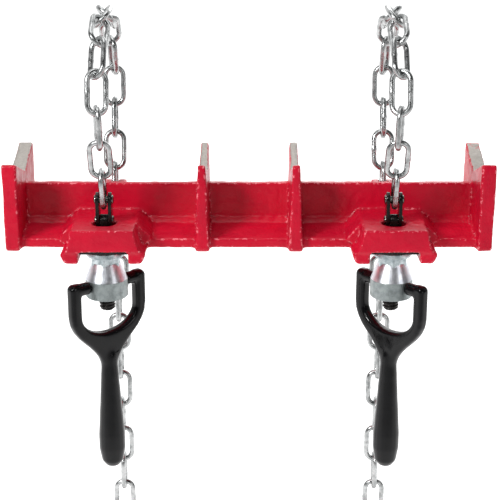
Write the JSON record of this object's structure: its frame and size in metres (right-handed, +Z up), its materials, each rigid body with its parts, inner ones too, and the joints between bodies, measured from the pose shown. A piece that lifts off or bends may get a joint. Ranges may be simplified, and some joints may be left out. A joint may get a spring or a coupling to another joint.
{
  "type": "pipe welding vise",
  "caption": "Cast V-saddle beam that clamps two butted pipes in line with chains, each drawn tight by a screw, nut and yoke handle.",
  "frame": {"origin": "on the clamped pipe's axis, at the vise's mid-length", "axes": "+X along the pipe and the body, -Y towards the operator's side with the screws, +Z up"},
  "size_m": [0.573, 0.2177, 0.7362],
  "materials": {
    "red_paint": "glossy paint on a rough casting",
    "zinc_plate": "zinc plated, turned",
    "chain_zinc": "bright zinc plated",
    "black_oxide": "black oxide, oiled",
    "black_enamel": "gloss black enamel on a forging"
  },
  "bodies": {
    "root": {"vise_body": "red_paint", "left_thrust_plate": "black_oxide", "left_chain_wrap": "chain_zinc", "right_thrust_plate": "black_oxide", "right_chain_wrap": "chain_zinc"},
    "left_nut_body": {"left_nut": "zinc_plate"},
    "left_handle_body": {"left_handle": "black_enamel"},
    "left_screw_body": {"left_chain_screw": "black_oxide"},
    "left_clevis_body": {"left_link_plate_outer": "black_oxide", "left_link_plate_inner": "black_oxide", "left_lower_pin": "black_oxide", "left_upper_pin": "black_oxide"},
    "left_rear_chain_body": {"left_rear_link_1": "chain_zinc", "left_rear_link_2": "chain_zinc", "left_rear_link_3": "chain_zinc", "left_hook_link": "chain_zinc"},
    "left_tail_01_body": {"left_tail_link_01": "chain_zinc"},
    "left_tail_02_body": {"left_tail_link_02": "chain_zinc"},
    "left_tail_03_body": {"left_tail_link_03": "chain_zinc"},
    "left_tail_04_body": {"left_tail_link_04": "chain_zinc"},
    "left_tail_05_body": {"left_tail_link_05": "chain_zinc"},
    "left_tail_06_body": {"left_tail_link_06": "chain_zinc"},
    "left_tail_07_body": {"left_tail_link_07": "chain_zinc"},
    "left_tail_08_body": {"left_tail_link_08": "chain_zinc"},
    "left_tail_09_body": {"left_tail_link_09": "chain_zinc"},
    "left_tail_10_body": {"left_tail_link_10": "chain_zinc"},
    "left_tail_11_body": {"left_tail_link_11": "chain_zinc"},
    "right_nut_body": {"right_nut": "zinc_plate"},
    "right_handle_body": {"right_handle": "black_enamel"},
    "right_screw_body": {"right_chain_screw": "black_oxide"},
    "right_clevis_body": {"right_link_plate_outer": "black_oxide", "right_link_plate_inner": "black_oxide", "right_lower_pin": "black_oxide", "right_upper_pin": "black_oxide"},
    "right_rear_chain_body": {"right_rear_link_1": "chain_zinc", "right_rear_link_2": "chain_zinc", "right_rear_link_3": "chain_zinc", "right_hook_link": "chain_zinc"},
    "right_tail_01_body": {"right_tail_link_01": "chain_zinc"},
    "right_tail_02_body": {"right_tail_link_02": "chain_zinc"},
    "right_tail_03_body": {"right_tail_link_03": "chain_zinc"},
    "right_tail_04_body": {"right_tail_link_04": "chain_zinc"},
    "right_tail_05_body": {"right_tail_link_05": "chain_zinc"},
    "right_tail_06_body": {"right_tail_link_06": "chain_zinc"},
    "right_tail_07_body": {"right_tail_link_07": "chain_zinc"},
    "right_tail_08_body": {"right_tail_link_08": "chain_zinc"},
    "right_tail_09_body": {"right_tail_link_09": "chain_zinc"},
    "right_tail_10_body": {"right_tail_link_10": "chain_zinc"},
    "right_tail_11_body": {"right_tail_link_11": "chain_zinc"}
  },
  "joints": [
    {"name": "left_nut_turn", "type": "hinge", "parent": "root", "child": "left_nut_body", "pos_m": [-0.169, -0.062, -0.2], "axis": [0, 0, -1], "range_deg": [0, 540]},
    {"name": "left_screw_travel", "type": "slide", "parent": "root", "child": "left_screw_body", "axis": [0, 0, 1], "range_m": [0, 0.006]},
    {"name": "left_handle_swing", "type": "hinge", "parent": "left_nut_body", "child": "left_handle_body", "pos_m": [-0.169, -0.062, -0.212], "axis": [0.7547, 0.6561, 0], "range_deg": [-90, 90]},
    {"name": "left_clevis_pivot", "type": "hinge", "parent": "left_screw_body", "child": "left_clevis_body", "pos_m": [-0.169, -0.062, -0.134], "axis": [1, 0, 0], "range_deg": [-3, 3]},
    {"name": "left_chain_unhook", "type": "hinge", "parent": "root", "child": "left_rear_chain_body", "pos_m": [-0.169, 0.09438, -0.02713], "axis": [1, 0, 0], "range_deg": [0, 22]},
    {"name": "right_nut_turn", "type": "hinge", "parent": "root", "child": "right_nut_body", "pos_m": [0.169, -0.062, -0.2], "axis": [0, 0, -1], "range_deg": [0, 540]},
    {"name": "right_screw_travel", "type": "slide", "parent": "root", "child": "right_screw_body", "axis": [0, 0, 1], "range_m": [0, 0.006]},
    {"name": "right_handle_swing", "type": "hinge", "parent": "right_nut_body", "child": "right_handle_body", "pos_m": [0.169, -0.062, -0.212], "axis": [0.6691, -0.7431, 0], "range_deg": [-90, 90]},
    {"name": "right_clevis_pivot", "type": "hinge", "parent": "right_screw_body", "child": "right_clevis_body", "pos_m": [0.169, -0.062, -0.134], "axis": [1, 0, 0], "range_deg": [-3, 3]},
    {"name": "right_chain_unhook", "type": "hinge", "parent": "root", "child": "right_rear_chain_body", "pos_m": [0.169, 0.09438, -0.02713], "axis": [1, 0, 0], "range_deg": [0, 22]},
    {"name": "left_tail_01_swing", "type": "hinge", "parent": "left_rear_chain_body", "child": "left_tail_01_body", "pos_m": [-0.169, 0.062, -0.17665], "axis": [0, 1, 0], "range_deg": [-10, 10]},
    {"name": "left_tail_02_swing", "type": "hinge", "parent": "left_tail_01_body", "child": "left_tail_02_body", "pos_m": [-0.169, 0.062, -0.21685], "axis": [1, 0, 0], "range_deg": [-10, 10]},
    {"name": "left_tail_03_swing", "type": "hinge", "parent": "left_tail_02_body", "child": "left_tail_03_body", "pos_m": [-0.169, 0.062, -0.25705], "axis": [0, 1, 0], "range_deg": [-10, 10]},
    {"name": "left_tail_04_swing", "type": "hinge", "parent": "left_tail_03_body", "child": "left_tail_04_body", "pos_m": [-0.169, 0.062, -0.29725], "axis": [1, 0, 0], "range_deg": [-10, 10]},
    {"name": "left_tail_05_swing", "type": "hinge", "parent": "left_tail_04_body", "child": "left_tail_05_body", "pos_m": [-0.169, 0.062, -0.33745], "axis": [0, 1, 0], "range_deg": [-10, 10]},
    {"name": "left_tail_06_swing", "type": "hinge", "parent": "left_tail_05_body", "child": "left_tail_06_body", "pos_m": [-0.169, 0.062, -0.37765], "axis": [1, 0, 0], "range_deg": [-10, 10]},
    {"name": "left_tail_07_swing", "type": "hinge", "parent": "left_tail_06_body", "child": "left_tail_07_body", "pos_m": [-0.169, 0.062, -0.41785], "axis": [0, 1, 0], "range_deg": [-10, 10]},
    {"name": "left_tail_08_swing", "type": "hinge", "parent": "left_tail_07_body", "child": "left_tail_08_body", "pos_m": [-0.169, 0.062, -0.45805], "axis": [1, 0, 0], "range_deg": [-10, 10]},
    {"name": "left_tail_09_swing", "type": "hinge", "parent": "left_tail_08_body", "child": "left_tail_09_body", "pos_m": [-0.169, 0.062, -0.49825], "axis": [0, 1, 0], "range_deg": [-10, 10]},
    {"name": "left_tail_10_swing", "type": "hinge", "parent": "left_tail_09_body", "child": "left_tail_10_body", "pos_m": [-0.169, 0.062, -0.53845], "axis": [1, 0, 0], "range_deg": [-10, 10]},
    {"name": "left_tail_11_swing", "type": "hinge", "parent": "left_tail_10_body", "child": "left_tail_11_body", "pos_m": [-0.169, 0.062, -0.57865], "axis": [0, 1, 0], "range_deg": [-10, 10]},
    {"name": "right_tail_01_swing", "type": "hinge", "parent": "right_rear_chain_body", "child": "right_tail_01_body", "pos_m": [0.169, 0.062, -0.17665], "axis": [0, 1, 0], "range_deg": [-10, 10]},
    {"name": "right_tail_02_swing", "type": "hinge", "parent": "right_tail_01_body", "child": "right_tail_02_body", "pos_m": [0.169, 0.062, -0.21685], "axis": [1, 0, 0], "range_deg": [-10, 10]},
    {"name": "right_tail_03_swing", "type": "hinge", "parent": "right_tail_02_body", "child": "right_tail_03_body", "pos_m": [0.169, 0.062, -0.25705], "axis": [0, 1, 0], "range_deg": [-10, 10]},
    {"name": "right_tail_04_swing", "type": "hinge", "parent": "right_tail_03_body", "child": "right_tail_04_body", "pos_m": [0.169, 0.062, -0.29725], "axis": [1, 0, 0], "range_deg": [-10, 10]},
    {"name": "right_tail_05_swing", "type": "hinge", "parent": "right_tail_04_body", "child": "right_tail_05_body", "pos_m": [0.169, 0.062, -0.33745], "axis": [0, 1, 0], "range_deg": [-10, 10]},
    {"name": "right_tail_06_swing", "type": "hinge", "parent": "right_tail_05_body", "child": "right_tail_06_body", "pos_m": [0.169, 0.062, -0.37765], "axis": [1, 0, 0], "range_deg": [-10, 10]},
    {"name": "right_tail_07_swing", "type": "hinge", "parent": "right_tail_06_body", "child": "right_tail_07_body", "pos_m": [0.169, 0.062, -0.41785], "axis": [0, 1, 0], "range_deg": [-10, 10]},
    {"name": "right_tail_08_swing", "type": "hinge", "parent": "right_tail_07_body", "child": "right_tail_08_body", "pos_m": [0.169, 0.062, -0.45805], "axis": [1, 0, 0], "range_deg": [-10, 10]},
    {"name": "right_tail_09_swing", "type": "hinge", "parent": "right_tail_08_body", "child": "right_tail_09_body", "pos_m": [0.169, 0.062, -0.49825], "axis": [0, 1, 0], "range_deg": [-10, 10]},
    {"name": "right_tail_10_swing", "type": "hinge", "parent": "right_tail_09_body", "child": "right_tail_10_body", "pos_m": [0.169, 0.062, -0.53845], "axis": [1, 0, 0], "range_deg": [-10, 10]},
    {"name": "right_tail_11_swing", "type": "hinge", "parent": "right_tail_10_body", "child": "right_tail_11_body", "pos_m": [0.169, 0.062, -0.57865], "axis": [0, 1, 0], "range_deg": [-10, 10]}
  ],
  "couplings": [
    {"joint": "left_screw_travel", "follows": "left_nut_turn", "m_per_rad": 0.00063662},
    {"joint": "right_screw_travel", "follows": "right_nut_turn", "m_per_rad": 0.00063662}
  ]
}
